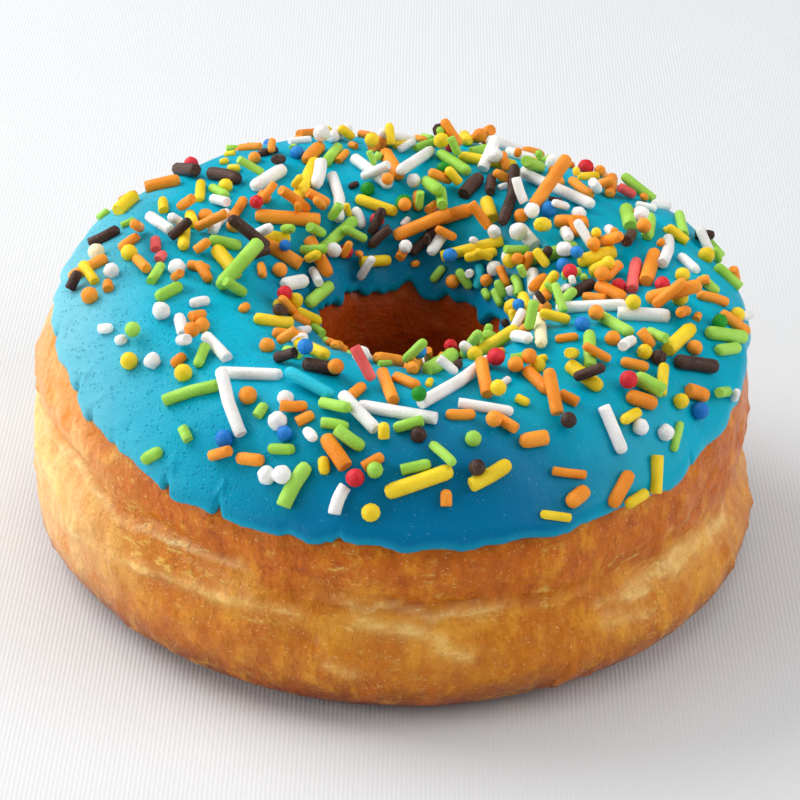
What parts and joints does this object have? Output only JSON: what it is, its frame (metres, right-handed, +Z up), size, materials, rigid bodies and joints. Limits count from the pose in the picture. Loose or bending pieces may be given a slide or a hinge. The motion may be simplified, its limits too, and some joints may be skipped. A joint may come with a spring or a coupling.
{
  "type": "iced ring doughnut",
  "caption": "Round fried ring doughnut with a pale waist, thick blue icing over its top and sugar sprinkles set in the icing. It lies flat.",
  "frame": {"origin": "on the table, under the middle of the whole doughnut", "axes": "+Z straight up through the hole, -Y towards the front, +X to the right seen from the front"},
  "size_m": [0.096, 0.0943, 0.044],
  "materials": {
    "crust": "fried dough, golden brown with a pale waist, soft sheen",
    "icing": "set sugar icing, blue, satin"
  },
  "bodies": {
    "root": {"dough": "crust", "icing": "icing"}
  },
  "joints": []
}
